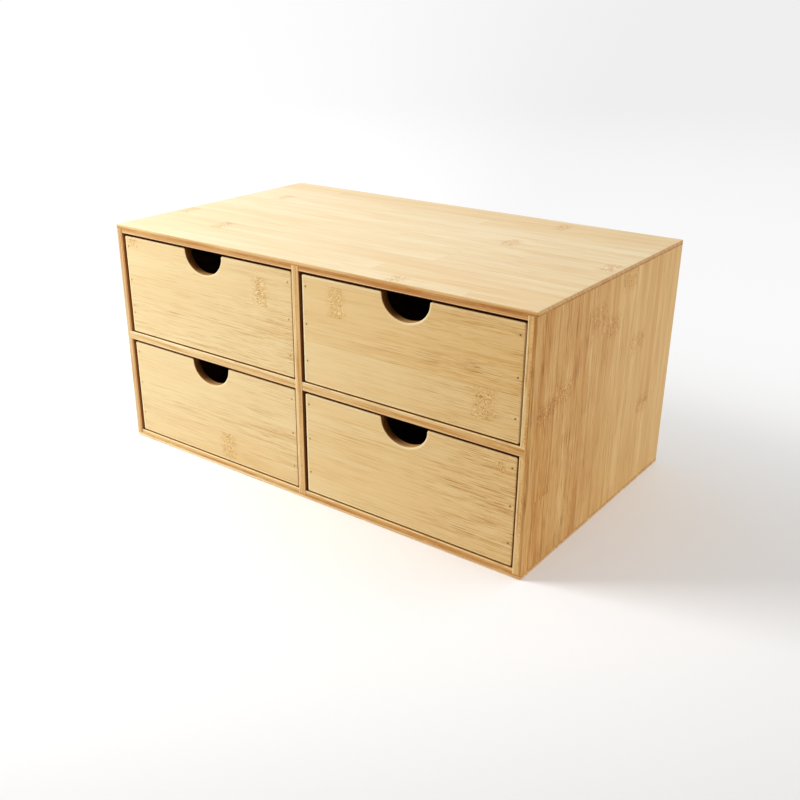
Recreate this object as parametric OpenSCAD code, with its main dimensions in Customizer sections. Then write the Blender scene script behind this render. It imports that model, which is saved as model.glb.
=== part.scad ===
// Desktop cabinet of laminated bamboo with four loose drawers, two over two.
// The cabinet boards are rabbeted, housed and cross-lapped; the drawers are pinned boxes.
// X runs across the front, the front faces -Y, Z is up.
// The origin is the middle of the underside.

/* [Cabinet] */
// Overall width
cab_w = 350; // [260:1:460]
// Overall depth, front to back
cab_d = 205; // [150:1:300]
// Overall height
cab_h = 170; // [120:1:240]
// Thickness of every cabinet board
board = 6; // [5:0.5:9]
// Thickness of the back panel
back_t = 3; // [2:0.5:4]
// Radius on the outer edges
arris = 0.8; // [0.3:0.1:1.5]

/* [Cabinet joints] */
// Thickness of the lip that the top and bottom boards lay over the side boards
lip = 3; // [2:0.25:4]
// Depth of the housings for the divider and the shelf
housing = 3; // [2:0.25:4]
// How far the back panel is let into the four outer boards
rebate = 3; // [2:0.25:4]
// Play between a panel's edge and the bottom of its groove
panel_play = 0.3; // [0.1:0.05:0.6]

/* [Drawers] */
// Thickness of a drawer front
front_t = 6; // [5:0.5:9]
// Thickness of a drawer's sides and back
box_t = 6; // [5:0.5:9]
// Thickness of a drawer floor
floor_t = 3; // [2:0.5:4]
// Height of a drawer floor above the drawer's lower edge
floor_lift = 5; // [3:0.5:7]
// Depth of the groove that holds a drawer floor
groove = 3; // [2:0.25:4]
// How far a drawer front stands back from the cabinet's front
recess = 1; // [0.5:0.25:5]
// Gap at each side of a drawer
side_gap = 1.6; // [0.5:0.1:2]
// Gap above a drawer
top_gap = 1.9; // [0.8:0.1:3]
// Gap under a drawer front, which hangs clear of what the drawer stands on
front_lift = 0.7; // [0.2:0.1:1.5]
// Gap behind a closed drawer
rear_gap = 1.5; // [0.5:0.25:5]
// Radius on the four corners of a drawer front, seen from the front
front_corner = 1; // [1:0.1:3]
// Radius on the edges round a drawer front's face and round its notch
front_arris = 0.6; // [0.3:0.1:0.9]
// Radius on the upper edges of a drawer's sides and back
rim_arris = 0.8; // [0.3:0.1:1.5]

/* [Finger notch] */
// Width of the notch along the front's top edge
notch_w = 38.4; // [32:0.2:44]
// Depth of the notch below the front's top edge
notch_depth = 16.2; // [12:0.2:19]
// Radius of the shoulders that lead into the notch
notch_shoulder = 1.2; // [1:0.1:3]

/* [Brads] */
// Diameter of a brad's shank
brad_d = 1; // [0.8:0.1:1.2]
// Diameter of a brad's head
brad_head_d = 1.4; // [1.3:0.05:1.6]
// Thickness of a brad's head
brad_head_t = 0.5; // [0.4:0.05:0.8]
// Length of a brad from head to point
brad_l = 16; // [12:0.5:20]
// How deep a brad's head is set below the surface
brad_set = 0.3; // [0.1:0.05:0.6]
// Clearance round a brad in its hole
brad_fit = 0.04; // [0.02:0.01:0.08]
// Distance of a drawer's highest brads from its top edge
brad_top = 7.5; // [5:0.5:10]
// Distance of a drawer's lowest brads from its lower edge
brad_foot = 16; // [13:0.5:18]
// Distance of the back panel's last brads from the cabinet's corners
brad_corner = 25; // [15:1:40]

/* [Hidden] */
$fn = 48;
// overlap that carries a cut clear of the face it starts from
over = 1;

// the bays
bay_w = (cab_w - 3 * board) / 2;
bay_h = (cab_h - 3 * board) / 2;
inner_w = cab_w - 2 * board;
inner_h = cab_h - 2 * board;
inner_d = cab_d - back_t;
lap_y = -back_t / 2;
shelf_z = board + bay_h;

// the drawers
drawer_w = bay_w - 2 * side_gap;
drawer_h = bay_h - top_gap;
front_h = drawer_h - front_lift;
drawer_d = inner_d - recess - rear_gap;
box_w = drawer_w - 2 * box_t;

// the notch: how much wider it is than a half-round one
notch_stretch = notch_w / 2 / notch_depth;

// the brads
brads_per_row = 3;
brad_point = 1.5;
brad_pitch = (drawer_h - brad_top - brad_foot) / (brads_per_row - 1);
brad_levels = [for (i = [0:brads_per_row - 1]) brad_foot + i * brad_pitch];
back_brads_wide = 4;
back_pitch = (cab_w - 2 * brad_corner) / (back_brads_wide - 1);
back_brad_x = [for (i = [0:back_brads_wide - 1]) brad_corner - cab_w / 2 + i * back_pitch];
back_brad_z = [board + bay_h / 2, shelf_z + board + bay_h / 2];

drawer_names = ["upper_left", "upper_right", "lower_left", "lower_right"];
drawer_pieces = ["front", "left_side", "right_side", "back", "floor", "brads"];

// where a drawer's own origin, the lower middle of its front face, lies when it is shut
function drawer_place(index) = [
    (index % 2 == 0 ? -1 : 1) * (board + bay_w) / 2,
    recess - cab_d / 2,
    index < 2 ? shelf_z + board : board
];

// ---- shapes ----

// box centred on X, from the given front and underside
module slab(w, d, h, y = 0, z = 0) {
    translate([-w / 2, y, z])
        cube([w, d, h]);
}

module rounded_rect(w, h, r) {
    translate([r - w / 2, 0])
        square([w - 2 * r, h]);
    translate([-w / 2, r])
        square([w, h - 2 * r]);
    for (x = [r - w / 2, w / 2 - r], y = [r, h - r])
        translate([x, y])
            circle(r);
}

// the cabinet's outside, with every edge eased
module eased_cabinet() {
    intersection() {
        translate([0, -cab_d / 2, 0])
            linear_extrude(cab_h)
                rounded_rect(cab_w, cab_d, arris);
        translate([0, cab_d / 2, 0])
            rotate([90, 0, 0])
                linear_extrude(cab_d)
                    rounded_rect(cab_w, cab_h, arris);
        translate([-cab_w / 2, 0, 0])
            rotate([90, 0, 90])
                linear_extrude(cab_w)
                    rounded_rect(cab_d, cab_h, arris);
    }
}

// room for the back panel, open to the rear
module back_pocket() {
    slab(inner_w + 2 * rebate, back_t + over, inner_h + 2 * rebate,
        cab_d / 2 - back_t, board - rebate);
}

// the notch, with the front's top edge along Y = 0
module finger_notch() {
    translate([0, -notch_shoulder])
        circle(notch_depth - notch_shoulder, $fn = 96);
    difference() {
        translate([-notch_depth, -notch_shoulder])
            square([2 * notch_depth, notch_shoulder + over]);
        for (x = [-notch_depth, notch_depth])
            translate([x, -notch_shoulder])
                circle(notch_shoulder);
    }
}

// what easing takes off one front edge of the notch, turned about its centre;
// hollow is true where the wood lies outside the arc, as round the notch itself
module notch_easing(r, hollow, from, sweep) {
    wood = hollow ? 1 : -1;
    rotate([90, 0, 0])
        mirror([0, 0, 1])
            rotate_extrude(angle = sweep, start = from)
                difference() {
                    translate([hollow ? r - over : r - front_arris, -over])
                        square([front_arris + over, front_arris + over]);
                    translate([r + wood * front_arris, front_arris])
                        circle(front_arris);
                }
}

// section of a drawer front that eases one pair of its front edges
module eased_section(size) {
    translate([0, front_arris])
        square([size, front_t - front_arris]);
    translate([front_arris, 0])
        square([size - 2 * front_arris, front_t]);
    for (x = [front_arris, size - front_arris])
        translate([x, front_arris])
            circle(front_arris);
}

// room for a drawer floor
module floor_pocket(play = 0) {
    slab(box_w + 2 * (groove - play), drawer_d - front_t - box_t + 2 * (groove - play), floor_t,
        front_t - groove + play, floor_lift);
}

// a brad driven along +Z from a surface at Z = 0
module brad() {
    rotate_extrude()
        polygon([
            [0, brad_set],
            [brad_head_d / 2, brad_set],
            [brad_head_d / 2, brad_set + brad_head_t],
            [brad_d / 2, brad_set + brad_head_t],
            [brad_d / 2, brad_set + brad_l - brad_point],
            [0, brad_set + brad_l]
        ]);
}

// the hole that a brad makes
module brad_hole() {
    translate([0, 0, -over])
        cylinder(h = over + brad_set + brad_head_t, d = brad_head_d + 2 * brad_fit);
    cylinder(h = brad_set + brad_l + brad_fit, d = brad_d + 2 * brad_fit);
}

// one row of brads through a drawer front into a side; side is -1 for left and 1 for right
module at_front_row(side) {
    for (z = brad_levels)
        translate([side * (drawer_w - box_t) / 2, 0, z])
            rotate([-90, 0, 0])
                children();
}

// one row of brads through a drawer side into the back
module at_rear_row(side) {
    for (z = brad_levels)
        translate([side * drawer_w / 2, drawer_d - box_t / 2, z])
            rotate([0, -90 * side, 0])
                children();
}

// the brads round the back panel, driven forwards
module at_back_brads() {
    for (x = back_brad_x, z = [board - rebate / 2, cab_h - board + rebate / 2])
        translate([x, cab_d / 2, z])
            rotate([90, 0, 0])
                children();
    for (x = [-1, 1] * (inner_w + rebate) / 2, z = back_brad_z)
        translate([x, cab_d / 2, z])
            rotate([90, 0, 0])
                children();
}

// ---- cabinet ----

// the top board, of which the bottom board is the mirror image
module lapped_board() {
    difference() {
        intersection() {
            slab(cab_w, cab_d, board, -cab_d / 2, cab_h - board);
            eased_cabinet();
        }
        // rabbets that leave a lip over each side board
        for (side = [-1, 1])
            translate([side * (inner_w + board + over) / 2, 0, 0])
                slab(board + over, cab_d + 2 * over, board - lip + over,
                    -cab_d / 2 - over, cab_h - board - over);
        // housing for the divider
        slab(board, inner_d + over, housing + over, -cab_d / 2 - over, cab_h - board - over);
        back_pocket();
        at_back_brads()
            brad_hole();
    }
}

module top_board() {
    color("burlywood")
        lapped_board();
}

module bottom_board() {
    color("burlywood")
        translate([0, 0, cab_h])
            mirror([0, 0, 1])
                lapped_board();
}

// side is -1 for left and 1 for right
module side_board(side) {
    difference() {
        intersection() {
            translate([side * (inner_w + board) / 2, 0, 0])
                slab(board, cab_d, cab_h - 2 * lip, -cab_d / 2, lip);
            eased_cabinet();
        }
        // housing for the shelf
        translate([side * (inner_w + housing - over) / 2, 0, 0])
            slab(housing + over, inner_d + over, board, -cab_d / 2 - over, shelf_z);
        back_pocket();
        at_back_brads()
            brad_hole();
    }
}

module left_side() {
    color("tan")
        side_board(-1);
}

module right_side() {
    color("tan")
        side_board(1);
}

// slotted from the rear, over the shelf
module centre_divider() {
    color("burlywood")
        difference() {
            slab(board, inner_d, inner_h + 2 * housing, -cab_d / 2, board - housing);
            slab(board + 2 * over, inner_d, board, lap_y, shelf_z);
        }
}

// slotted from the front, round the divider
module shelf() {
    color("burlywood")
        difference() {
            slab(inner_w + 2 * housing, inner_d, board, -cab_d / 2, shelf_z);
            slab(board, cab_d / 2 + lap_y + over, board + 2 * over, -cab_d / 2 - over, shelf_z - over);
        }
}

module back_panel() {
    edge = rebate - panel_play;
    color("wheat")
        difference() {
            slab(inner_w + 2 * edge, back_t, inner_h + 2 * edge, cab_d / 2 - back_t, board - edge);
            at_back_brads()
                brad_hole();
        }
}

module back_panel_brads() {
    color("dimgray")
        at_back_brads()
            brad();
}

// ---- drawer, drawn about its own origin ----

module drawer_front() {
    color("wheat")
        difference() {
            intersection() {
                translate([0, front_t, front_lift])
                    rotate([90, 0, 0])
                        linear_extrude(front_t)
                            rounded_rect(drawer_w, front_h, front_corner);
                translate([-drawer_w / 2, 0, 0])
                    linear_extrude(drawer_h)
                        eased_section(drawer_w);
                translate([drawer_w / 2, 0, front_lift])
                    rotate([0, -90, 0])
                        linear_extrude(drawer_w)
                            eased_section(front_h);
            }
            translate([0, 0, drawer_h])
                scale([notch_stretch, 1, 1]) {
                    translate([0, front_t + over, 0])
                        rotate([90, 0, 0])
                            linear_extrude(front_t + 2 * over)
                                finger_notch();
                    translate([0, 0, -notch_shoulder]) {
                        notch_easing(notch_depth - notch_shoulder, true, 180, 180);
                        for (side = [-1, 1])
                            translate([side * notch_depth, 0, 0])
                                notch_easing(notch_shoulder, false, side < 0 ? 0 : 90, 90);
                    }
                }
            floor_pocket();
            for (side = [-1, 1])
                at_front_row(side)
                    brad_hole();
        }
}

// upright section of a drawer board, with its two upper edges eased
module rimmed_section() {
    square([box_t, drawer_h - rim_arris]);
    translate([rim_arris, 0])
        square([box_t - 2 * rim_arris, drawer_h]);
    for (x = [rim_arris, box_t - rim_arris])
        translate([x, drawer_h - rim_arris])
            circle(rim_arris);
}

module drawer_side(side) {
    color("burlywood")
        difference() {
            translate([side * (box_w + box_t) / 2 - box_t / 2, drawer_d, 0])
                rotate([90, 0, 0])
                    linear_extrude(drawer_d - front_t)
                        rimmed_section();
            floor_pocket();
            at_front_row(side)
                brad_hole();
            at_rear_row(side)
                brad_hole();
        }
}

module drawer_back() {
    color("burlywood")
        difference() {
            translate([-box_w / 2, drawer_d - box_t, 0])
                rotate([90, 0, 90])
                    linear_extrude(box_w)
                        rimmed_section();
            floor_pocket();
            for (side = [-1, 1])
                at_rear_row(side)
                    brad_hole();
        }
}

module drawer_floor() {
    color("blanchedalmond")
        floor_pocket(panel_play);
}

module drawer_brads() {
    color("dimgray")
        for (side = [-1, 1]) {
            at_front_row(side)
                brad();
            at_rear_row(side)
                brad();
        }
}

top_board();
bottom_board();
left_side();
right_side();
centre_divider();
shelf();
back_panel();
back_panel_brads();
for (i = [0:len(drawer_names) - 1])
    translate(drawer_place(i)) {
        drawer_front();
        drawer_side(-1);
        drawer_side(1);
        drawer_back();
        drawer_floor();
        drawer_brads();
    }
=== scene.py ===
import math
import random

import bmesh
import bpy
from mathutils import Matrix, Vector


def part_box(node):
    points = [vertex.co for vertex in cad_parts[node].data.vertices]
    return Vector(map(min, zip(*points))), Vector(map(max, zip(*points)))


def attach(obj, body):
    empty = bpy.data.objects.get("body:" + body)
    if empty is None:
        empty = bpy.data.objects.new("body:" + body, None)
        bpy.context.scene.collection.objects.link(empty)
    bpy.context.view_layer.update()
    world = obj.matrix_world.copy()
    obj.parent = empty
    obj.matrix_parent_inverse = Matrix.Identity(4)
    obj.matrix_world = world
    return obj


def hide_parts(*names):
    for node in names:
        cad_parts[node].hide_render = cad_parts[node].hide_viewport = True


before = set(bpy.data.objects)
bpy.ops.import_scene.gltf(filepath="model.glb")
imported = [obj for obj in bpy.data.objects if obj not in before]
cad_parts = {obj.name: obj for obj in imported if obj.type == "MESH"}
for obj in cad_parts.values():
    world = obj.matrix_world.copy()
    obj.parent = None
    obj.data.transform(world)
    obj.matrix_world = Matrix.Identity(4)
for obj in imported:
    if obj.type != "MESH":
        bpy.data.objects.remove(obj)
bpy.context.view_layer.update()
print("frame loaded:", len(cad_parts), "nodes")

scene = bpy.context.scene
scene.view_settings.view_transform = "Standard"
mm = 0.001

# the camera comes first: from the front right, a little above the drawers

camera = {
    "place": (0.41335, -0.55815, 0.33226),
    "azimuth": 37.27,  # degrees from straight ahead, towards the right side
    "elevation": 23.65,  # degrees above the horizon
    "lens": 44.384,  # mm
    "sensor": 36,  # mm
    "shift": (0.0275, 0.0177),
    "sees": (0.01, 60),  # m, from and to
}


def addCamera():
    lens = bpy.data.cameras.new("camera")
    lens.lens = camera["lens"]
    lens.sensor_width = camera["sensor"]
    lens.shift_x, lens.shift_y = camera["shift"]
    lens.clip_start, lens.clip_end = camera["sees"]
    holder = bpy.data.objects.new("camera", lens)
    holder.location = camera["place"]
    holder.rotation_euler = (math.radians(90 - camera["elevation"]), 0, math.radians(camera["azimuth"]))
    scene.collection.objects.link(holder)
    scene.camera = holder


addCamera()
print("camera placed")

# short ways to write nodes


def newNode(tree, kind, **settings):
    node = tree.nodes.new(kind)
    for name, value in settings.items():
        setattr(node, name, value)
    return node


def feed(tree, socket, value):  # a socket is linked, anything else is set
    if isinstance(value, bpy.types.NodeSocket):
        tree.links.new(value, socket)
    elif socket.type == "RGBA" and len(value) == 3:
        socket.default_value = (*value, 1)
    else:
        socket.default_value = value


def maths(tree, operation, *values, clamp=False):
    node = newNode(tree, "ShaderNodeMath", operation=operation, use_clamp=clamp)
    for socket, value in zip(node.inputs, values):
        feed(tree, socket, value)
    return node.outputs[0]


def split(tree, value):
    node = newNode(tree, "ShaderNodeSeparateXYZ")
    feed(tree, node.inputs[0], value)
    return node.outputs


def join(tree, x, y, z):
    node = newNode(tree, "ShaderNodeCombineXYZ")
    for socket, value in zip(node.inputs, (x, y, z)):
        feed(tree, socket, value)
    return node.outputs[0]


def spread(tree, value, low, high, bottom=0.0, top=1.0):  # low..high becomes bottom..top, held at both ends
    node = newNode(tree, "ShaderNodeMapRange", interpolation_type="SMOOTHSTEP")
    for socket, number in zip(node.inputs, (value, low, high, bottom, top)):
        feed(tree, socket, number)
    return node.outputs[0]


def swing(tree, value, size):  # 0..1 becomes as much to either side of nought
    return maths(tree, "MULTIPLY_ADD", value, size, -size / 2)


def dot(tree, value, direction):
    node = newNode(tree, "ShaderNodeVectorMath", operation="DOT_PRODUCT")
    feed(tree, node.inputs[0], value)
    feed(tree, node.inputs[1], direction)
    return node.outputs["Value"]


def pick(tree, amount, first, second):
    node = newNode(tree, "ShaderNodeMix", data_type="FLOAT")
    for socket, value in zip((node.inputs[0], node.inputs[2], node.inputs[3]), (amount, first, second)):
        feed(tree, socket, value)
    return node.outputs[0]


def blend(tree, amount, first, second, kind="MIX"):
    node = newNode(tree, "ShaderNodeMix", data_type="RGBA", blend_type=kind)
    for socket, value in zip((node.inputs[0], node.inputs[6], node.inputs[7]), (amount, first, second)):
        feed(tree, socket, value)
    return node.outputs[2]


def tinted(tree, amount, colour, tint):
    return blend(tree, amount, colour, blend(tree, 1.0, colour, tint, "MULTIPLY"))


def noise(tree, place, detail=2.0, roughness=0.5, distortion=0.0):
    node = newNode(tree, "ShaderNodeTexNoise")
    feed(tree, node.inputs["Vector"], place)
    node.inputs["Scale"].default_value = 1.0
    node.inputs["Detail"].default_value = detail
    node.inputs["Roughness"].default_value = roughness
    node.inputs["Distortion"].default_value = distortion
    return node.outputs["Fac"]


def stretched(tree, along, across, depth, length, width):  # a noise drawn out along the grain, sizes in mm
    return join(
        tree,
        maths(tree, "DIVIDE", along, length),
        maths(tree, "DIVIDE", across, width),
        maths(tree, "DIVIDE", depth, width),
    )


def newMaterial(name):
    material = bpy.data.materials.new(name)
    material.use_nodes = True
    return material, material.node_tree, material.node_tree.nodes["Principled BSDF"]


# bamboo plywood: two veneers of glued strips on a core that runs across them

ply = {
    "coreShare": 0.32,  # of the board's thickness
    "coreBlur": 0.02,
    "waves": (11.0, 9.0),  # mm along and across, how plies and rubbed edges waver
    "waveDepth": 0.08,  # of half the thickness
    "glue": 0.045,  # of half the thickness, the line beside the core
    "skin": (0.84, 0.97),  # of half the thickness, where the edge turns into the face
    "seam": (0.22, 0.05),  # mm, the line between strips: where it begins and is full
    "thinDepth": 0.25,  # how far seams and glue lines darken the wood
    "fine": (24.0, 0.46),  # mm long and wide, the thin fibres
    "fineRange": (0.48, 0.72),  # of the noise, where a fibre begins and is full
    "fineDepth": 0.72,  # how far the fibres darken the wood
    "line": (60.0, 1.1),  # the broader lines
    "lineRange": (0.48, 0.66),
    "lineDepth": 0.40,
    "hair": (14.0, 0.36),  # the dark hairs
    "hairRange": (0.57, 0.69),
    "hairDepth": 1.2,
    "hairLean": (0.02, -0.08),  # they show where the board leans to the dark
    "hairLines": 1.8,  # and where its strip has lines
    "cloud": (120.0, 9.0),  # the broad streaks of tone
    "patch": (45.0, 9.0),  # where the fibres show more or less
    "patchRange": (0.36, 0.64, 0.55, 1.2),
    "shown": 0.35,  # how much they show on a strip without lines
    "shownLines": 0.9,  # how much more with lines
    "shownLean": -2.5,  # and how much less where the board leans to the light
    "fibrous": (3.0, 0.6),  # detail and roughness of these noises
    "rowShift": 17.3,  # so that no two strips share their fibres
    "jointShift": 7.7,
    "markReach": 8.0,  # mm each way from the middle of a node mark
    "markFull": 1.5,  # mm, where it is at its strongest
    "markRagged": 8.0,  # mm, how much its place wavers
    "markRagWidth": 3.0,  # mm
    "markMargin": 2.0,  # mm, its soft edge beside the seam
    "markDepth": 0.28,
    "swirl": (5.0, 3.6),  # mm along and across, how the fibres bend in a mark
    "swirlDepth": 9.0,  # mm
    "curl": (2.6, 1.9),  # mm along and across, the short curls in a mark
    "curlDistortion": 1.6,
    "curlWidth": (0.05, 0.01),
    "fleckRange": (0.56, 0.66),  # the pale flecks between them
    "blotch": (55.0, 1.8),  # mm along and across, stains on the edges
    "blotchRange": (0.42, 0.68),
    "redRange": (0.62, 0.38),
    "coreWaves": (0.3, 0.6, 0.55, 1.0),
    "edgeBelow": (-0.4, 0.4),  # mm, where the lower edge ply turns into the upper one
    "leanShadeRange": (0.12, -0.12),  # the edges are painted darker as shade where the board leans to the dark
    "arris": (0.9, 0.3),  # mm, the paler rubbed edges, brightened as a painted highlight: where they begin and are full
    "arrisWaves": (0.3, 0.55, 0.6, 1.0),
    "lip": (0.45, 0.15),  # mm, a painted shadow line in the corner under a board: where it begins and is full
    "scorchBack": (-2.5, 2.5),  # mm, from the darker back of the notch wall to its front
    "scorchRange": (0.4, 0.6),
    "roughness": (0.38, 0.54),
    "gloss": 0.16,
    "bump": 0.6,
    "relief": 0.05,  # mm
    "reliefLevel": 0.8,
    "reliefOf": {"fine": -0.35, "broad": -0.25, "curl": -0.35, "thin": -0.3},
}
tints = {  # what the wood's own colour is multiplied by; leanShade stands for painted shade
    "red": (0.86, 0.66, 0.44),
    "mark": (0.92, 0.78, 0.56),
    "leanShade": (0.90, 0.74, 0.56),
    "blotch": (0.80, 0.64, 0.46),
    "fibre": (0.72, 0.55, 0.34),
    "hair": (0.66, 0.50, 0.32),
    "curl": (0.64, 0.43, 0.23),
    "fleck": (1.15, 1.24, 1.34),
    "thin": (0.60, 0.46, 0.32),
    "charred": (0.72, 0.66, 0.60),
}
rubbedHighlightColours = ((0.98, 0.84, 0.50), (0.90, 0.68, 0.34))  # light, and darker on the painted shade side
gleamColour = (1.0, 0.94, 0.70)
scorchAndShadeColours = ((0.11, 0.044, 0.013), (0.25, 0.088, 0.017))  # back and front


def addSockets(group):
    for name, kind in (
        ("Place", "Vector"),
        ("Row", "Float"),
        ("Strip Width", "Float"),
        ("Lean", "Vector"),
        ("Half Thickness", "Float"),
        ("Half Length", "Float"),
        ("Half Width", "Float"),
        ("Eased", "Float"),
        ("Burnt And Shaded", "Float"),
        ("Rubbed Highlight", "Float"),
        ("Inside", "Float"),
        ("Streaks", "Float"),
        ("Strip", "Color"),
        ("Beyond", "Float"),
        ("Finish", "Color"),
        ("Dark", "Color"),
        ("Light", "Color"),
        ("Edge", "Color"),
        ("Edge Below", "Color"),
        ("Core", "Color"),
        ("Inner", "Color"),
        ("Seed", "Float"),
    ):
        group.interface.new_socket(name, in_out="INPUT", socket_type="NodeSocket" + kind)
    for name, kind in (("Colour", "Color"), ("Roughness", "Float"), ("Height", "Float")):
        group.interface.new_socket(name, in_out="OUTPUT", socket_type="NodeSocket" + kind)


def findPly(group, given, depth, wave):  # the core, the glue line beside it and the face veneer: 1 there
    level = maths(group, "DIVIDE", maths(group, "ABSOLUTE", depth), given["Half Thickness"])
    level = maths(group, "ADD", level, swing(group, wave, ply["waveDepth"]))
    core = spread(group, level, ply["coreShare"] + ply["coreBlur"], ply["coreShare"] - ply["coreBlur"])
    fromCore = maths(group, "ABSOLUTE", maths(group, "SUBTRACT", level, ply["coreShare"]))
    return core, spread(group, fromCore, ply["glue"], 0.0), spread(group, level, *ply["skin"])


def alongBoard(group, given, share):  # mm from the board's middle, of a place from 0 to 1 along it
    length = maths(group, "MULTIPLY", given["Half Length"], 2.0)
    return maths(group, "MULTIPLY", maths(group, "SUBTRACT", share, 0.5), length)


def findStrip(group, given, along, joint):  # where in its strip, and whether before or beyond the butt joint
    rowNumber = maths(group, "FLOOR", given["Row"])
    inRow = maths(group, "SUBTRACT", given["Row"], rowNumber)
    toSeam = maths(group, "MINIMUM", inRow, maths(group, "SUBTRACT", 1.0, inRow))
    toSeam = maths(group, "MULTIPLY", toSeam, given["Strip Width"])
    toJoint = maths(group, "SUBTRACT", along, alongBoard(group, given, joint))
    beyond = maths(group, "GREATER_THAN", toJoint, 0.0)
    seam = maths(group, "MINIMUM", toSeam, maths(group, "ABSOLUTE", toJoint))
    return rowNumber, toSeam, beyond, spread(group, seam, *ply["seam"])


def findMark(group, given, along, across, mark, markSize, rowNumber, toSeam):  # 1 at its strip's node mark
    toMark = maths(group, "SUBTRACT", along, alongBoard(group, given, mark))
    raggedPlace = join(group, given["Seed"], maths(group, "DIVIDE", across, ply["markRagWidth"]), rowNumber)
    toMark = maths(group, "ADD", toMark, swing(group, noise(group, raggedPlace), ply["markRagged"]))
    reach = maths(group, "MULTIPLY", markSize, ply["markReach"])
    near = spread(group, maths(group, "ABSOLUTE", toMark), reach, ply["markFull"])
    margin = maths(group, "MULTIPLY", maths(group, "MULTIPLY_ADD", markSize, -0.5, 0.5), given["Strip Width"])
    full = maths(group, "ADD", margin, ply["markMargin"])
    return maths(group, "MULTIPLY", near, spread(group, toSeam, margin, full))


def drawFibres(group, run, side, stack, drift, lines):
    fine = noise(group, stretched(group, run, side, stack, *ply["fine"]), *ply["fibrous"])
    broad = noise(group, stretched(group, run, side, stack, *ply["line"]), *ply["fibrous"])
    hair = noise(group, stretched(group, run, side, stack, *ply["hair"]), 1.0)
    patch = noise(group, stretched(group, run, side, stack, *ply["patch"]), 1.0)
    patch = spread(group, patch, *ply["patchRange"])
    shown = maths(group, "MULTIPLY_ADD", lines, ply["shownLines"], ply["shown"])
    shown = maths(group, "MULTIPLY_ADD", drift, ply["shownLean"], shown)
    shown = maths(group, "MULTIPLY", shown, patch)
    dashes = maths(group, "MULTIPLY", spread(group, fine, *ply["fineRange"]), ply["fineDepth"])
    drawn = maths(group, "MULTIPLY", spread(group, broad, *ply["lineRange"]), ply["lineDepth"])
    fibre = maths(group, "MULTIPLY", maths(group, "ADD", dashes, drawn), shown, clamp=True)
    hairs = maths(group, "MULTIPLY", spread(group, hair, *ply["hairRange"]), ply["hairDepth"])
    hairs = maths(group, "MULTIPLY", hairs, spread(group, drift, *ply["hairLean"]))
    hairs = maths(group, "MULTIPLY", hairs, maths(group, "MULTIPLY", lines, ply["hairLines"], clamp=True))
    hairs = maths(group, "MULTIPLY", hairs, patch)
    return fine, broad, fibre, hairs


def colourEdge(group, given, depth, core, wave, leanShade, blotch):
    edge = blend(group, spread(group, depth, *ply["edgeBelow"]), given["Edge Below"], given["Edge"])
    shownCore = maths(group, "MULTIPLY", core, spread(group, wave, *ply["coreWaves"]))
    edge = blend(group, shownCore, edge, given["Core"])
    edge = tinted(group, leanShade, edge, tints["leanShade"])
    return tinted(group, spread(group, blotch, *ply["blotchRange"]), edge, tints["blotch"])


# long edges are rubbed paler and brightened as a painted highlight, undersides are dark at the corner as a
# painted shadow line, and the cutter has scorched the notches, darkened further as painted shade

def wearHighlightAndShade(group, given, wood, across, depth, wave, leanShade, blotch):
    fromSide = maths(group, "SUBTRACT", given["Half Width"], maths(group, "ABSOLUTE", across))
    fromFace = maths(group, "SUBTRACT", given["Half Thickness"], maths(group, "ABSOLUTE", depth))
    arris = spread(group, maths(group, "MAXIMUM", fromSide, fromFace), *ply["arris"])
    arris = maths(group, "MULTIPLY", arris, given["Rubbed Highlight"])
    arris = maths(group, "MAXIMUM", arris, given["Eased"])
    arris = maths(group, "MULTIPLY", arris, spread(group, wave, *ply["arrisWaves"]))
    wood = blend(group, arris, wood, blend(group, leanShade, *rubbedHighlightColours))
    # a painted highlight, where Eased is above 1
    gleam = maths(group, "SUBTRACT", given["Eased"], 1.0, clamp=True)
    wood = blend(group, gleam, wood, gleamColour)
    # a painted shadow line on the edge, next to the face inside the bay
    lip = maths(group, "MULTIPLY", given["Inside"], maths(group, "LESS_THAN", depth, 0.0))
    lip = maths(group, "MULTIPLY", lip, spread(group, fromFace, *ply["lip"]))
    wood = blend(group, lip, wood, given["Inner"])
    # scorched edges, with painted shade on top
    scorchAndShade = blend(group, spread(group, depth, *ply["scorchBack"]), *scorchAndShadeColours)
    scorchAndShade = tinted(group, spread(group, blotch, *ply["scorchRange"]), scorchAndShade, tints["charred"])
    return blend(group, given["Burnt And Shaded"], wood, scorchAndShade)


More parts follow.
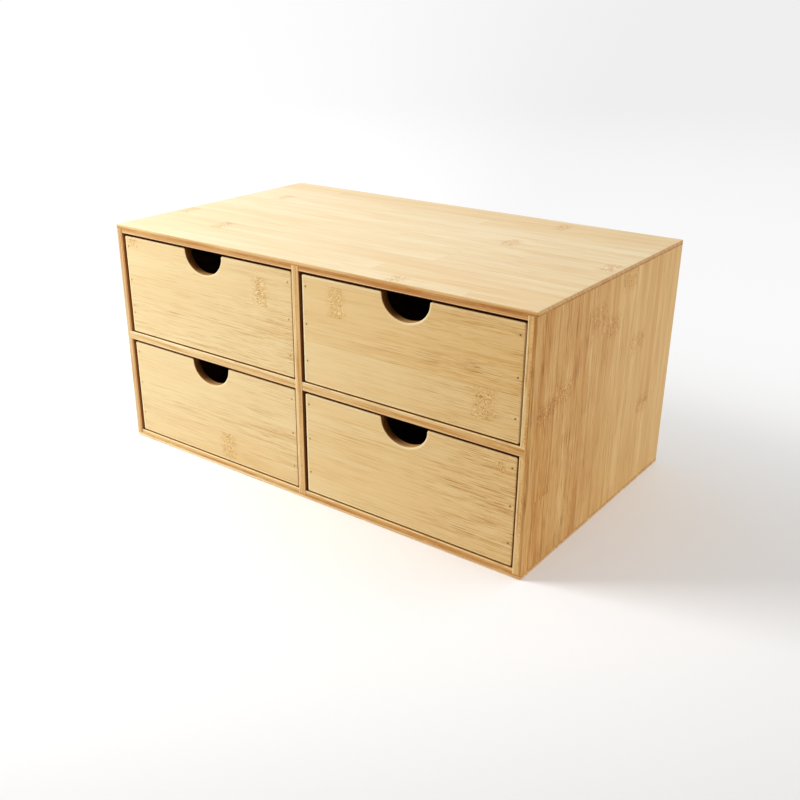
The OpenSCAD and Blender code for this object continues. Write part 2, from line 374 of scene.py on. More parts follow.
def buildPly():
    group = bpy.data.node_groups.new("bambooPly", "ShaderNodeTree")
    addSockets(group)
    given = newNode(group, "NodeGroupInput").outputs
    along, across, depth = split(group, given["Place"])
    mark, tone, joint = split(group, given["Strip"])
    redness, lines, markSize = split(group, given["Finish"])
    wave = noise(group, stretched(group, along, across, given["Seed"], *ply["waves"]))
    core, glue, skin = findPly(group, given, depth, wave)
    rowNumber, toSeam, beyond, seam = findStrip(group, given, along, joint)
    # the lean is painted shade: the tone falls off across the board, darker away from the light
    drift = dot(group, given["Place"], given["Lean"])
    leanShade = spread(group, drift, *ply["leanShadeRange"])

    # a node mark: the fibres swirl where the cane had its knuckle
    near = findMark(group, given, along, across, mark, markSize, rowNumber, toSeam)
    near = maths(group, "MULTIPLY", near, skin)
    swirlPlace = stretched(group, along, across, given["Seed"], *ply["swirl"])
    swirl = swing(group, noise(group, swirlPlace), ply["swirlDepth"])
    bentAcross = maths(group, "MULTIPLY_ADD", swirl, near, across)
    curlPlace = stretched(group, along, across, given["Seed"], *ply["curl"])
    curlNoise = noise(group, curlPlace, 1.0, 0.5, ply["curlDistortion"])
    curl = maths(group, "ABSOLUTE", maths(group, "SUBTRACT", curlNoise, 0.5))
    curl = maths(group, "MULTIPLY", spread(group, curl, *ply["curlWidth"]), near)
    fleck = maths(group, "MULTIPLY", spread(group, curlNoise, *ply["fleckRange"]), near)

    # fibres, in the core turned a quarter
    run = pick(group, core, along, bentAcross)
    side = pick(group, core, bentAcross, along)
    stack = maths(group, "MULTIPLY_ADD", rowNumber, ply["rowShift"], depth)
    stack = maths(group, "MULTIPLY_ADD", beyond, ply["jointShift"], stack)
    stack = maths(group, "ADD", stack, given["Seed"])
    fine, broad, fibre, hairs = drawFibres(group, run, side, stack, drift, lines)
    cloud = noise(group, stretched(group, run, side, stack, *ply["cloud"]), 4.0, 0.6)
    stripTone = maths(group, "ADD", pick(group, beyond, tone, given["Beyond"]), drift)
    streak = maths(group, "MULTIPLY", maths(group, "SUBTRACT", cloud, 0.5), given["Streaks"])
    stripTone = maths(group, "ADD", stripTone, streak, clamp=True)

    # colour
    face = blend(group, stripTone, given["Dark"], given["Light"])
    reddened = maths(group, "MULTIPLY", redness, spread(group, cloud, *ply["redRange"]))
    face = tinted(group, reddened, face, tints["red"])
    face = tinted(group, maths(group, "MULTIPLY", near, ply["markDepth"]), face, tints["mark"])
    # faces inside the bays take the painted shade colour
    face = blend(group, given["Inside"], face, given["Inner"])
    blotchPlace = stretched(group, along, maths(group, "ADD", across, depth), given["Seed"], *ply["blotch"])
    blotch = noise(group, blotchPlace, *ply["fibrous"])
    wood = blend(group, skin, colourEdge(group, given, depth, core, wave, leanShade, blotch), face)
    thin = maths(group, "MAXIMUM", maths(group, "MULTIPLY", seam, skin), glue)
    wood = tinted(group, fibre, wood, tints["fibre"])
    wood = tinted(group, hairs, wood, tints["hair"])
    wood = tinted(group, curl, wood, tints["curl"])
    wood = tinted(group, fleck, wood, tints["fleck"])
    wood = tinted(group, maths(group, "MULTIPLY", thin, ply["thinDepth"]), wood, tints["thin"])
    wood = wearHighlightAndShade(group, given, wood, across, depth, wave, leanShade, blotch)

    # lacquer and relief
    low, high = ply["roughness"]
    rough = maths(group, "MULTIPLY_ADD", fine, high - low, low)
    height = ply["reliefLevel"]
    for name, value in (("fine", fine), ("broad", broad), ("curl", curl), ("thin", thin)):
        height = maths(group, "MULTIPLY_ADD", value, ply["reliefOf"][name], height)
    out = newNode(group, "NodeGroupOutput")
    for socket, value in zip(out.inputs, (wood, rough, height)):
        feed(group, socket, value)
    return group


plyGroup = buildPly()

# which way each board's grain runs, and which way its faces look: rows are grain, across, thickness

grains = {
    "flatAlongX": ((1, 0, 0), (0, 1, 0), (0, 0, 1)),
    "frontAlongX": ((1, 0, 0), (0, 0, 1), (0, -1, 0)),
    "sideAlongZ": ((0, 0, 1), (0, 1, 0), (-1, 0, 0)),
    "sideAlongY": ((0, 1, 0), (0, 0, -1), (-1, 0, 0)),
}

# the boards: colours for dark and light strips, edges and core; how the tone drifts along and across, per mm,
# as painted shade;
# and where a board shows plainly, its strips from one long edge to the other, each
# (tone, tone beyond the joint, joint, node mark, redness, lines, mark size), with places from 0 to 1 along it

paleTop = {
    "dark": (0.78, 0.54, 0.26), "light": (0.89, 0.78, 0.54),
    "edge": (0.80, 0.58, 0.29), "edgeBelow": (0.72, 0.43, 0.18), "core": (0.60, 0.32, 0.10),
}
honey = {
    "dark": (0.76, 0.47, 0.16), "light": (0.88, 0.71, 0.40),
    "edge": (0.86, 0.61, 0.30), "edgeBelow": (0.80, 0.53, 0.23), "core": (0.68, 0.41, 0.155),
}
tan = {
    "dark": (0.67, 0.345, 0.09), "light": (0.88, 0.595, 0.25),
    "edge": (0.98, 0.74, 0.39), "edgeBelow": (0.68, 0.42, 0.16), "core": (0.80, 0.53, 0.22),
}
shadedBoxWood = {  # the boxes, and every face inside the bays: darker, as painted shade
    "dark": (0.44, 0.26, 0.10), "light": (0.60, 0.40, 0.18),
    "edge": (0.60, 0.41, 0.20), "edgeBelow": (0.60, 0.41, 0.20), "core": (0.50, 0.31, 0.13),
}
# painted shade: the faces inside the bays and the backs of the fronts are coloured dark, where shade falls
inner = (0.33, 0.125, 0.027)
innerDeep = (0.20, 0.06, 0.012)  # deeper painted shade, behind the drawer fronts
mouth = (0.8, 3.5)  # mm from the front edge, where the painted shade turns into the deeper one
none = 2.0  # a place beyond the board's end
firstSeed = 100

boards = {
    "top_board": {
        "grain": "flatAlongX",
        "colours": paleTop,
        "inside": "below",
        "rubbedHighlight": "below",
        "streaks": 1.1,
        "lean": (-0.0004, 0.0, 0.0),
        "stripWidth": 20.4,
        "start": 0.314,
        "strips": (
            (0.58, 0.46, 0.86, 0.717, 0.0, 0.08, 1.0),
            (0.52, 0.40, 0.64, none, 0.0, 0.0, 1.0),
            (0.50, 0.50, none, 0.187, 0.1, 0.0, 1.0),
            (0.58, 0.46, 0.70, 0.02, 0.0, 0.12, 1.0),
            (0.58, 0.50, 0.70, none, 0.05, 0.12, 1.0),
            (0.60, 0.52, 0.53, 0.977, 0.0, 0.12, 1.0),
            (0.62, 0.55, none, 0.743, 0.0, 0.12, 1.0),
            (0.64, 0.58, none, 0.097, 0.05, 0.12, 1.0),
            (0.58, 0.36, 0.607, none, 0.0, 0.05, 1.0),
            (0.40, 0.30, 0.17, 0.763, 0.1, 0.0, 1.0),
            (0.40, 0.35, none, none, 0.1, 0.0, 1.0),
        ),
    },
    "bottom_board": {
        "grain": "flatAlongX",
        "colours": {
            **honey,
            "edge": (0.82, 0.55, 0.24), "edgeBelow": (0.97, 0.79, 0.49), "core": (0.66, 0.40, 0.15),
        },
        "inside": "above",
        "bayShade": (0.46, 0.24, 0.07),
        "rubbedHighlight": "above",
        "lean": (-0.0007, 0.0, 0.0),
    },
    "left_side": {
        "grain": "sideAlongZ",
        "colours": {
            "dark": (0.71, 0.42, 0.14), "light": (0.87, 0.63, 0.30),
            "edge": (0.79, 0.65, 0.42), "edgeBelow": (0.62, 0.38, 0.16), "core": (0.82, 0.61, 0.34),
        },
        "inside": "below",
        "rubbedHighlight": "above",
    },
    "right_side": {
        "grain": "sideAlongZ",
        "colours": {
            **tan,
            "edge": (0.98, 0.86, 0.53), "edgeBelow": (0.69, 0.475, 0.215), "core": (0.94, 0.75, 0.41),
        },
        "inside": "above",
        "rubbedHighlight": "above",
        "streaks": 1.9,
        "lean": (0.0, 0.0016, 0.0),
        "stripWidth": 20.75,
        "start": 0.67,
        "strips": (
            (0.55, 0.55, none, none, 0.1, 0.8, 1.0),
            (0.64, 0.44, 0.28, 0.622, 0.38, 2.0, 1.3),
            (0.56, 0.52, none, 0.66, 0.0, 1.5, 1.4),
            (0.44, 0.46, none, none, 0.15, 1.5, 1.0),
            (0.52, 0.52, 0.80, 0.878, 0.25, 1.0, 1.5),
            (0.50, 0.48, none, 0.805, 0.1, 1.0, 1.5),
            (0.52, 0.50, none, 0.963, 0.05, 0.9, 1.3),
            (0.56, 0.56, none, 0.671, 0.0, 0.9, 1.4),
            (0.52, 0.56, 0.36, 0.36, 0.05, 0.9, 1.2),
            (0.50, 0.55, none, none, 0.05, 0.9, 1.0),
            (0.58, 0.58, none, none, 0.0, 0.9, 1.0),
        ),
    },
    "centre_divider": {
        "grain": "sideAlongZ",
        "colours": {**tan, "edgeBelow": (0.80, 0.56, 0.27), "core": (0.76, 0.54, 0.25)},
        "inside": "both",
        "bayShade": (0.18, 0.06, 0.012),
        "rubbedHighlight": "above",
    },
    "shelf": {
        "grain": "flatAlongX",
        "colours": {
            **honey,
            "edge": (0.87, 0.73, 0.43), "edgeBelow": (0.84, 0.62, 0.31), "core": (0.81, 0.56, 0.25),
        },
        "inside": "both",
        "rubbedHighlight": "both",
        "lean": (-0.0007, 0.0, 0.0),
    },
    "back_panel": {"grain": "frontAlongX", "colours": honey, "inside": "above"},
}


# the four fronts: how dark the top edge is scorched and painted as shade, how pale the right end is painted
# as a highlight in the gap (below 0 it is scorched and shaded too)

drawers = {
    "upper_left_drawer": {
        "scorchAndShade": 0.8,
        "paleEnd": 0.35,
        "lean": (-0.0007, 0.0, 0.0),
        "start": 0.76,
        "strips": (
            (0.80, 0.80, none, none, 0.0, 0.8, 1.0),
            (0.80, 0.80, none, none, 0.0, 0.8, 1.0),
            (0.74, 0.74, none, none, 0.05, 0.5, 1.0),
            (0.73, 0.73, none, 0.83, 0.0, 0.25, 1.2),
            (0.78, 0.78, none, 0.047, 0.1, 0.25, 1.0),
        ),
    },
    "upper_right_drawer": {
        "scorchAndShade": 0.88,
        "paleEnd": 1.7,
        "lean": (-0.0018, 0.0, 0.0),
        "start": 0.535,
        "strips": (
            (0.44, 0.44, none, none, 0.0, 0.3, 1.0),
            (0.50, 0.50, none, 0.851, 0.0, 0.3, 1.5),
            (0.35, 0.35, none, none, 0.05, 0.7, 1.0),
            (0.34, 0.34, none, 0.173, 0.0, 0.3, 1.2),
            (0.36, 0.36, none, none, 0.0, 0.3, 1.0),
        ),
    },
    "lower_left_drawer": {
        "scorchAndShade": 0.25,
        "paleEnd": 1.3,
        "lean": (-0.0006, 0.0, 0.0),
        "start": 0.90,
        "strips": (
            (0.70, 0.70, none, none, 0.0, 0.25, 1.0),
            (0.71, 0.71, none, 0.583, 0.15, 0.3, 1.3),
            (0.75, 0.75, none, none, 0.05, 0.45, 1.0),
            (0.78, 0.78, none, none, 0.0, 0.2, 1.0),
            (0.78, 0.78, none, none, 0.0, 0.2, 1.0),
        ),
    },
    "lower_right_drawer": {
        "scorchAndShade": 0.8,
        "paleEnd": -0.5,
        "lean": (-0.0015, 0.0, 0.0),
        "start": 0.285,
        "strips": (
            (0.52, 0.52, none, none, 0.0, 0.4, 1.0),
            (0.50, 0.50, none, none, 0.05, 0.4, 1.0),
            (0.48, 0.48, none, none, 0.05, 0.6, 1.0),
            (0.46, 0.46, none, 0.935, 0.0, 0.6, 0.45),
            (0.48, 0.48, none, none, 0.0, 0.4, 1.0),
        ),
    },
}
boxGrains = {
    "left_side": "sideAlongY",
    "right_side": "sideAlongY",
    "back": "frontAlongX",
    "floor": "flatAlongX",
}
for drawer, frontStrips in drawers.items():
    boards[drawer + "_front"] = {"grain": "frontAlongX", "colours": honey, "inside": "below", **frontStrips}
    for part, grain in boxGrains.items():
        boards[drawer + "_" + part] = {"grain": grain, "colours": shadedBoxWood}


usual = {  # what a board has where its own entry says nothing, and the limits for strips that are guessed
    "stripWidth": 20.0,  # mm
    "streaks": 0.55,
    "lean": (0.0, 0.0, 0.0),
    "tone": (0.4, 0.7),
    "joint": (0.15, 0.85),
    "noJoint": 1.5,
    "mark": (-0.2, 1.2),
    "redness": (0, 0.25),
    "markSize": (0.7, 1.3),
    "seed": (0, 90),
}


def guessStrips(count, dice):
    rows = []
    for row in range(count):
        joint = dice.choice((dice.uniform(*usual["joint"]), usual["noJoint"], usual["noJoint"]))
        mark = dice.uniform(*usual["mark"])
        tones = (dice.uniform(*usual["tone"]), dice.uniform(*usual["tone"]))
        finish = (dice.uniform(*usual["redness"]), dice.random(), dice.uniform(*usual["markSize"]))
        rows.append((*tones, joint, mark, *finish))
    return rows


def table(tree, place, rows):  # a ramp read as a table: one constant stop for each row
    ramp = newNode(tree, "ShaderNodeValToRGB")
    ramp.color_ramp.interpolation = "CONSTANT"
    stops = ramp.color_ramp.elements
    while len(stops) > 1:
        stops.remove(stops[-1])
    for index, row in enumerate(rows):
        stop = stops[0] if index == 0 else stops.new(index / len(rows))
        stop.position = index / len(rows)
        stop.color = row
    feed(tree, ramp.inputs["Fac"], place)
    return ramp.outputs


def halfOf(tree, depth, which):  # 1 in that half of the board's thickness, 0 in the other
    if which == "above":
        return maths(tree, "GREATER_THAN", depth, 0.0)
    if which == "below":
        return maths(tree, "LESS_THAN", depth, 0.0)
    return 1.0 if which == "both" else 0.0


def paintBoard(name, number):
    board = boards[name]
    axes = Matrix(grains[board["grain"]])
    low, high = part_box(name)
    centre = (Vector(low) + Vector(high)) / 2
    size = [abs(value) / mm for value in axes @ (Vector(high) - Vector(low))]
    dice = random.Random(firstSeed + number)
    stripWidth = board.get("stripWidth", usual["stripWidth"])
    count = math.ceil(size[1] / stripWidth) + 1
    start = board.get("start", dice.uniform(0, 1))  # how much of the first strip is cut away
    strips = board.get("strips") or guessStrips(count, dice)
    material, tree, shader = newMaterial(name + "Ply")
    place = newNode(tree, "ShaderNodeMapping", vector_type="TEXTURE")
    place.inputs["Location"].default_value = centre
    place.inputs["Rotation"].default_value = axes.transposed().to_euler()
    place.inputs["Scale"].default_value = (mm, mm, mm)
    feed(tree, place.inputs["Vector"], newNode(tree, "ShaderNodeTexCoord").outputs["Object"])
    across, depth = split(tree, place.outputs[0])[1:]
    bayShade = board.get("bayShade", inner)
    # inside the bay the painted shade deepens behind the front edge
    if board["grain"] != "frontAlongX":
        toFront = maths(tree, "ADD", across, size[1] / 2)
        bayShade = blend(tree, spread(tree, toFront, *mouth), bayShade, innerDeep)
    eased = newNode(tree, "ShaderNodeAttribute", attribute_name="eased").outputs["Fac"]
    burntAndShaded = newNode(tree, "ShaderNodeAttribute", attribute_name="burntAndShaded").outputs["Fac"]
    row = maths(tree, "ADD", maths(tree, "DIVIDE", across, stripWidth), size[1] / 2 / stripWidth + start)
    rampPlace = maths(tree, "DIVIDE", maths(tree, "ADD", maths(tree, "FLOOR", row), 0.5), len(strips))
    places = table(tree, rampPlace, [(strip[3], strip[0], strip[2], strip[1]) for strip in strips])
    finish = table(tree, rampPlace, [(strip[4], strip[5], strip[6], 1.0) for strip in strips])
    wood = newNode(tree, "ShaderNodeGroup", node_tree=plyGroup)
    for socket, value in (
        ("Place", place.outputs[0]),
        ("Row", row),
        ("Strip Width", stripWidth),
        ("Lean", board.get("lean", usual["lean"])),
        ("Half Thickness", size[2] / 2),
        ("Half Length", size[0] / 2),
        ("Half Width", size[1] / 2),
        ("Eased", eased),
        ("Burnt And Shaded", burntAndShaded),
        ("Rubbed Highlight", halfOf(tree, depth, board.get("rubbedHighlight", "neither"))),
        ("Inside", halfOf(tree, depth, board.get("inside", "neither"))),
        ("Streaks", board.get("streaks", usual["streaks"])),
        ("Strip", places[0]),
        ("Beyond", places[1]),
        ("Finish", finish[0]),
        ("Dark", board["colours"]["dark"]),
        ("Light", board["colours"]["light"]),
        ("Edge", board["colours"]["edge"]),
        ("Edge Below", board["colours"]["edgeBelow"]),
        ("Inner", bayShade),
        ("Core", board["colours"]["core"]),
        ("Seed", dice.uniform(*usual["seed"])),
    ):
        feed(tree, wood.inputs[socket], value)
    bump = newNode(tree, "ShaderNodeBump")
    bump.inputs["Strength"].default_value = ply["bump"]
    bump.inputs["Distance"].default_value = ply["relief"] * mm
    feed(tree, bump.inputs["Height"], wood.outputs["Height"])
    feed(tree, shader.inputs["Base Color"], wood.outputs["Colour"])
    feed(tree, shader.inputs["Roughness"], wood.outputs["Roughness"])
    feed(tree, shader.inputs["Normal"], bump.outputs[0])
    shader.inputs["Specular IOR Level"].default_value = ply["gloss"]
    return material


plyMaterials = {name: paintBoard(name, number) for number, name in enumerate(boards)}


def dress(name, material):
    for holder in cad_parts[name].material_slots:
        holder.material = material


for name, material in plyMaterials.items():
    dress(name, material)
print("bamboo laid on", len(plyMaterials), "boards")


# the brads: stained wire, paler in the left drawers

steelTones = {  # the darker and the lighter stain
    "bradSteel": ((0.27, 0.17, 0.06), (0.44, 0.30, 0.12)),
    "paleSteel": ((0.48, 0.33, 0.14), (0.66, 0.47, 0.22)),
}
steel = {
    "roughness": (0.25, 0.65),
    "metallic": 0.1,
    "gloss": 0.1,
}


def makeSteel(name):
    material, tree, shader = newMaterial(name)
    place = newNode(tree, "ShaderNodeMapping")
    place.inputs["Scale"].default_value = (1 / mm, 1 / mm, 1 / mm)
    feed(tree, place.inputs["Vector"], newNode(tree, "ShaderNodeTexCoord").outputs["Object"])
    stain = noise(tree, place.outputs[0], *ply["fibrous"])
    feed(tree, shader.inputs["Base Color"], blend(tree, stain, *steelTones[name]))
    low, high = steel["roughness"]
    feed(tree, shader.inputs["Roughness"], maths(tree, "MULTIPLY_ADD", stain, high - low, low))
    shader.inputs["Metallic"].default_value = steel["metallic"]
    shader.inputs["Specular IOR Level"].default_value = steel["gloss"]
    return material


steels = {name: makeSteel(name) for name in steelTones}
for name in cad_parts:
    if name.endswith("brads"):
        dress(name, steels["paleSteel" if "left_drawer" in name else "bradSteel"])
print("brads painted")

# the drawer fronts: outline drawn as arcs, pushed out to a board, its front edge eased, brad holes sunk

front = {
    "corner": 1.0,  # mm
    "arris": 0.6,
    "rubbedHighlight": 0.8,  # the paler band inside the arris, a painted highlight
    "notchRim": 0.5,  # how much of the band is left round the notch
    "fold": 0.6,  # how near a corner the band's points are gathered
    "notchWidth": 38.4,
    "notchDepth": 16.2,
    "shoulder": 1.2,
    "arcSteps": 6,
    "notchSteps": 56,
    "arrisSteps": 5,
    "flatPale": 0.55,  # of the left edge's paleness, on the top and bottom edges
    "notchPale": 0.35,  # round the notch, and more on its upper and left parts
    "notchPaleUp": 0.5,
    "notchPaleLeft": 0.9,
    "notchScorch": 0.3,  # on the notch wall, scorched, and darker where it faces right, away from the lamp, as painted shade
    "notchShadeRight": 1.4,
    "scorchedTo": 0.5,  # on the arris, how far the scorched and shaded edge reaches
    "easedFacing": (0.2, 0.999),  # how far forwards the facets of the arris look
    "sharpFrom": 40,  # degrees between faces
    "near": 0.01,  # mm, closer than this is the same place
    "bradHole": 1.48,
    "bradDepth": 0.84,
    "bradInset": 3.0,
    "bradLevels": (15.3, 40.6, 65.9),
    "bradSteps": 16,
}


def drawOutline(bm, left, right, foot, top, face):
    corner = front["corner"]
    shoulder = front["shoulder"]
    deep = front["notchDepth"]
    middle = (left + right) / 2
    stretch = Matrix.Diagonal((front["notchWidth"] / 2 / deep, 1, 1, 1))
    arcs = (  # centre, radius, where it starts from the centre, degrees clockwise seen from the front
        ((left + corner, top - corner), corner, (-1, 0), 90),
        ((middle - deep, top - shoulder), shoulder, (0, 1), 90),
        ((middle, top - shoulder), deep - shoulder, (-1, 0), -180),
        ((middle + deep, top - shoulder), shoulder, (-1, 0), 90),
        ((right - corner, top - corner), corner, (0, 1), 90),
        ((right - corner, foot + corner), corner, (1, 0), 90),
        ((left + corner, foot + corner), corner, (0, -1), 90),
    )
    end = None
    for (x, z), radius, (startX, startZ), turn in arcs:
        start = bm.verts.new(Vector((x + radius * startX, face, z + radius * startZ)) * mm)
        if end:
            bm.edges.new((end, start))
        steps = front["notchSteps"] if abs(turn) > 90 else front["arcSteps"]
        arc = bmesh.ops.spin(bm, geom=[start], cent=Vector((x, face, z)) * mm, axis=(0, 1, 0),
                             angle=math.radians(turn), steps=steps)
        end = arc["geom_last"][0]
    notch = [vertex for vertex in bm.verts if abs(vertex.co.x / mm - middle) < deep + front["near"]]
    bmesh.ops.transform(bm, verts=notch, matrix=stretch, space=Matrix.Translation((-middle * mm, 0, 0)))
    bm.verts.ensure_lookup_table()
    bm.edges.new((end, bm.verts[0]))
    bmesh.ops.remove_doubles(bm, verts=bm.verts, dist=front["near"] * mm)
    bmesh.ops.contextual_create(bm, geom=bm.edges)


def sinkBrads(bm, panel, left, right, foot, face):  # fills the panel again round six small holes
    rim = list(panel.edges)
    bmesh.ops.delete(bm, geom=[panel], context="FACES_ONLY")
    holes = []
    for x in (left + front["bradInset"], right - front["bradInset"]):
        for level in front["bradLevels"]:
            placed = Matrix.Translation(Vector((x, face, foot + level)) * mm)
            turned = placed @ Matrix.Rotation(math.pi / 2, 4, "X")
            ring = bmesh.ops.create_circle(bm, radius=front["bradHole"] / 2 * mm, segments=front["bradSteps"],
                                           matrix=turned)["verts"]
            holes.append({edge for vertex in ring for edge in vertex.link_edges})
    bmesh.ops.triangle_fill(bm, edges=rim + [edge for hole in holes for edge in hole], use_beauty=True)
    for hole in holes:
        pushed = bmesh.ops.extrude_edge_only(bm, edges=list(hole))["geom"]
        bottom = [part for part in pushed if isinstance(part, bmesh.types.BMVert)]
        bmesh.ops.translate(bm, verts=bottom, vec=(0, front["bradDepth"] * mm, 0))
        bmesh.ops.contextual_create(bm, geom=bottom)


def findPanel(bm):
    return min(bm.faces, key=lambda found: found.normal.y * found.calc_area())


def drawBand(bm, left, right, foot, top, face):  # where it folds over itself in tight corners it is gathered
    bmesh.ops.inset_region(bm, faces=[findPanel(bm)], thickness=front["rubbedHighlight"] * mm, use_even_offset=True)
    middle = (left + right) / 2
    half = front["notchWidth"] / 2
    reach = front["arris"] + front["rubbedHighlight"]
    for x in (left + reach, middle - half, middle + half, right - reach):
        for z in (foot + reach, top - reach):
            spot = Vector((x, face, z)) * mm
            folded = [vertex for vertex in bm.verts if (vertex.co - spot).length < front["fold"] * mm]
            if folded:
                bmesh.ops.pointmerge(bm, verts=folded, merge_co=spot)
    bm.normal_update()
    return findPanel(bm)


def rubbedHighlightAt(outwards, inNotch):  # the left, top and bottom edges are paler than the right ones: painted highlight
    outwards = Vector((outwards.x, 0, outwards.z)).normalized()
    if inNotch:
        more = front["notchPaleUp"] * outwards.z - front["notchPaleLeft"] * outwards.x
        return front["notchPale"] + max(0.0, more)
    return min(1.0, max(0.0, -outwards.x) + front["flatPale"] * abs(outwards.z))


# the notch wall is scorched, and painted darker as shade where it faces right; top edges are painted dark as
# the shade in the gap above them
def scorchAndShadeAt(outwards, inNotch, topEdge):
    if inNotch:
        return max(0.0, min(1.0, front["notchScorch"] + front["notchShadeRight"] * outwards.x))
    return max(0.0, topEdge * outwards.z)


def makeFront(drawer):
    low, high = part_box(drawer + "_front")
    left, face, foot = [value / mm for value in low]
    right, back, top = [value / mm for value in high]
    bm = bmesh.new()
    # eased: how pale a face is painted, rubbed and highlit; above 1 it turns to a painted gleam
    eased = bm.faces.layers.float.new("eased")
    burntAndShaded = bm.faces.layers.float.new("burntAndShaded")
    drawOutline(bm, left, right, foot, top, back)
    pushed = bmesh.ops.extrude_face_region(bm, geom=bm.faces)["geom"]
    outer = [part for part in pushed if isinstance(part, bmesh.types.BMVert)]
    bmesh.ops.translate(bm, verts=outer, vec=(0, (face - back) * mm, 0))
    rim = [edge for edge in bm.edges if all(vertex in outer for vertex in edge.verts)]
    bmesh.ops.bevel(bm, geom=rim, offset=front["arris"] * mm, segments=front["arrisSteps"], profile=0.5,
                    affect="EDGES", material=-1)
    bmesh.ops.recalc_face_normals(bm, faces=bm.faces)
    halfNotch = front["notchWidth"] / 2
    easedFrom, easedTo = front["easedFacing"]
    for found in bm.faces:
        middle = found.calc_center_median() / mm
        facing = abs(found.normal.y)
        inNotch = abs(middle.x - (left + right) / 2) < halfNotch and middle.z > (foot + top) / 2
        if facing < front["scorchedTo"]:
            # the right end is painted pale as a highlight in the gap, and dark as shade below 0
            paleEnd = 0.0 if inNotch else drawers[drawer]["paleEnd"] * max(0.0, found.normal.x)
            found[eased] = max(0.0, paleEnd)
            found[burntAndShaded] = scorchAndShadeAt(found.normal, inNotch, drawers[drawer]["scorchAndShade"]) * (1 - facing)
            found[burntAndShaded] += max(0.0, -paleEnd)
        if easedFrom < facing < easedTo:
            found[eased] = rubbedHighlightAt(found.normal, inNotch)
    panel = drawBand(bm, left, right, foot, top, face)
    reach = front["arris"] + front["rubbedHighlight"]
    band = {found for vertex in panel.verts for found in vertex.link_faces} - {panel}
    for found in band:
        beside = {other for edge in found.edges for other in edge.link_faces} - band
        found[eased] = max(other[eased] for other in beside)
        middle = found.calc_center_median() / mm
        if abs(middle.x - (left + right) / 2) < halfNotch + reach and middle.z > foot + reach:
            found[eased] *= front["notchRim"]
    sinkBrads(bm, panel, left, right, foot, face)
    bmesh.ops.recalc_face_normals(bm, faces=bm.faces)
    for found in bm.faces:
        found.smooth = True
    for edge in bm.edges:
        edge.smooth = edge.calc_face_angle(0) < math.radians(front["sharpFrom"])
    mesh = bpy.data.meshes.new(drawer + "_panel")
    bm.to_mesh(mesh)
    bm.free()
    piece = bpy.data.objects.new(drawer + "_panel", mesh)
    scene.collection.objects.link(piece)
    piece.data.materials.append(plyMaterials[drawer + "_front"])
    piece.modifiers.new("even shading", "WEIGHTED_NORMAL").keep_sharp = True
    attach(piece, drawer)
    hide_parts(drawer + "_front")


for drawer in drawers:
    makeFront(drawer)
print("drawer fronts made")

# room: pale floor, soft studio light from the left

studio = {
    "floorColours": ((0.92, 0.92, 0.92), (0.94, 0.94, 0.94)),
    "floorRoughness": 0.9,
    "floorRadius": 15,  # m
    "floorGlow": 0.04,  # seen by the camera and in reflections
    "dimWay": (0.50, -0.87, 0.0),  # which way the floor grows dimmer
    "dimming": (0.20, 0.55, 1.0, 0.75),  # from and to, m, and what is left there
    "backdrop": 0.863,  # of white
    "brightWay": (-0.90, 0.43, 0.0),  # which way the backdrop grows brighter
    "brightening": (0.72, 1.02, 0.0, 0.16),
    "nearGain": (2.6, 0.5, 0.0, 0.09),  # its near part is a little brighter, m
    "turnRound": (0.32, 1.3),  # m from the middle, where the floor turns into the backdrop
    "turnBehind": (0.0, 0.45),  # and m towards the rear
    "sky": 0.30,
    "skyLobes": (  # where it comes from, how wide, how strong
        ((0.80, 0.60, 0.0), (0.0, 0.8), 0.70),
        ((0.0, 0.0, 1.0), (0.2, 1.0), 0.22),
        ((0.25, 0.97, 0.0), (-0.2, 0.6), 0.10),
    ),
    "keyPlace": (-0.56, -0.42, 0.70),
    "keyTarget": (0, 0, 0.08),
    "keySize": 0.42,
    "keyPower": 6.9,
}


def backdropLevel(tree, outwards):
    brighter = spread(tree, dot(tree, outwards, studio["brightWay"]), *studio["brightening"])
    return maths(tree, "ADD", brighter, studio["backdrop"])


def seenRay(tree):  # 1 for what the camera sees, also in a reflection
    path = newNode(tree, "ShaderNodeLightPath")
    return maths(tree, "MAXIMUM", path.outputs["Is Camera Ray"], path.outputs["Is Glossy Ray"])


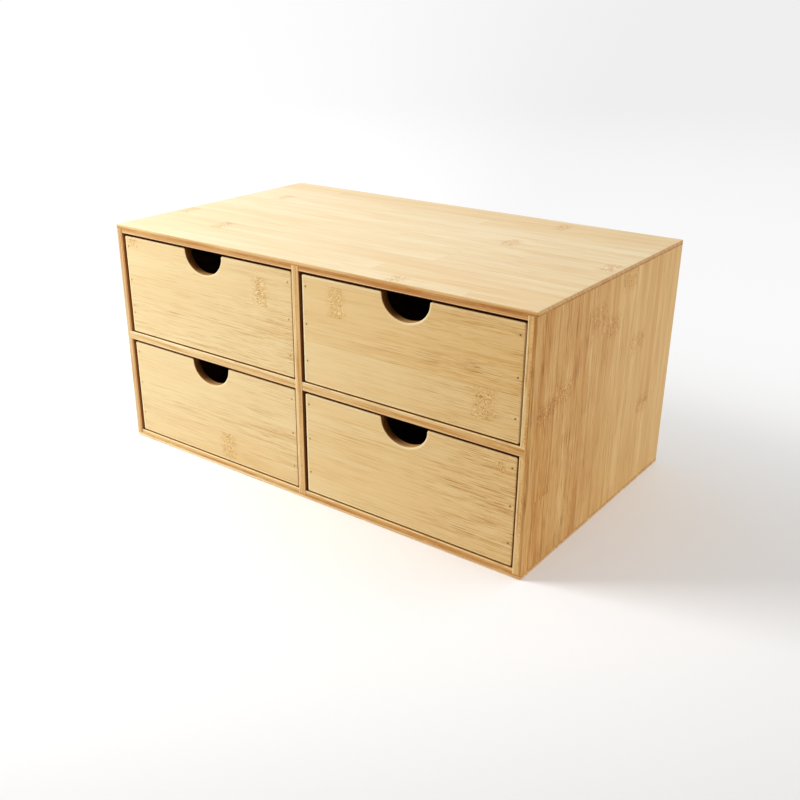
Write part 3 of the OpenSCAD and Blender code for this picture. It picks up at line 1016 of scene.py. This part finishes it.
def addFloor():
    bpy.ops.mesh.primitive_circle_add(vertices=96, radius=studio["floorRadius"], fill_type="NGON")
    floor = bpy.context.object
    floor.name = "floor"
    material, tree, shader = newMaterial("floorPaper")
    place = newNode(tree, "ShaderNodeTexCoord").outputs["Object"]
    length = newNode(tree, "ShaderNodeVectorMath", operation="LENGTH")
    feed(tree, length.inputs[0], place)
    length = length.outputs["Value"]
    behind = spread(tree, split(tree, place)[1], *studio["turnBehind"])
    far = maths(tree, "MAXIMUM", spread(tree, length, *studio["turnRound"]), behind)
    dim = spread(tree, dot(tree, place, studio["dimWay"]), *studio["dimming"])
    paper = blend(tree, noise(tree, place), *studio["floorColours"])
    feed(tree, shader.inputs["Base Color"], blend(tree, 1.0, paper, join(tree, dim, dim, dim), "MULTIPLY"))
    shader.inputs["Roughness"].default_value = studio["floorRoughness"]
    shader.inputs["Specular IOR Level"].default_value = 0.0
    seen = seenRay(tree)
    shader.inputs["Emission Color"].default_value = (1, 1, 1, 1)
    feed(tree, shader.inputs["Emission Strength"], maths(tree, "MULTIPLY", seen, studio["floorGlow"]))
    glow = newNode(tree, "ShaderNodeEmission")
    outwards = newNode(tree, "ShaderNodeVectorMath", operation="NORMALIZE")
    feed(tree, outwards.inputs[0], place)
    nearer = spread(tree, length, *studio["nearGain"])
    feed(tree, glow.inputs["Strength"], maths(tree, "ADD", backdropLevel(tree, outwards.outputs[0]), nearer))
    mixed = newNode(tree, "ShaderNodeMixShader")
    feed(tree, mixed.inputs[0], maths(tree, "MULTIPLY", far, seen))
    feed(tree, mixed.inputs[1], shader.outputs[0])
    feed(tree, mixed.inputs[2], glow.outputs[0])
    feed(tree, tree.nodes["Material Output"].inputs["Surface"], mixed.outputs[0])
    floor.data.materials.append(material)


def addWorld():
    world = bpy.data.worlds.new("studio")
    world.use_nodes = True
    tree = world.node_tree
    seen = seenRay(tree)
    outwards = newNode(tree, "ShaderNodeTexCoord").outputs["Generated"]
    sky = studio["sky"]
    for direction, (low, high), strength in studio["skyLobes"]:
        sky = maths(tree, "ADD", sky, spread(tree, dot(tree, outwards, direction), low, high, 0.0, strength))
    background = tree.nodes["Background"]
    feed(tree, background.inputs["Strength"], pick(tree, seen, sky, backdropLevel(tree, outwards)))
    feed(tree, background.inputs["Color"], (1.0, 1.0, 1.0))
    scene.world = world


def addLamp(name, place, target, size, power):
    lamp = bpy.data.lights.new(name, "AREA")
    lamp.shape = "SQUARE"
    lamp.size = size
    lamp.energy = power
    holder = bpy.data.objects.new(name, lamp)
    holder.location = place
    holder.rotation_euler = (Vector(target) - Vector(place)).to_track_quat("-Z", "Y").to_euler()
    holder.visible_camera = False
    scene.collection.objects.link(holder)


addFloor()
addWorld()
addLamp("key", studio["keyPlace"], studio["keyTarget"], studio["keySize"], studio["keyPower"])
print("studio lit")
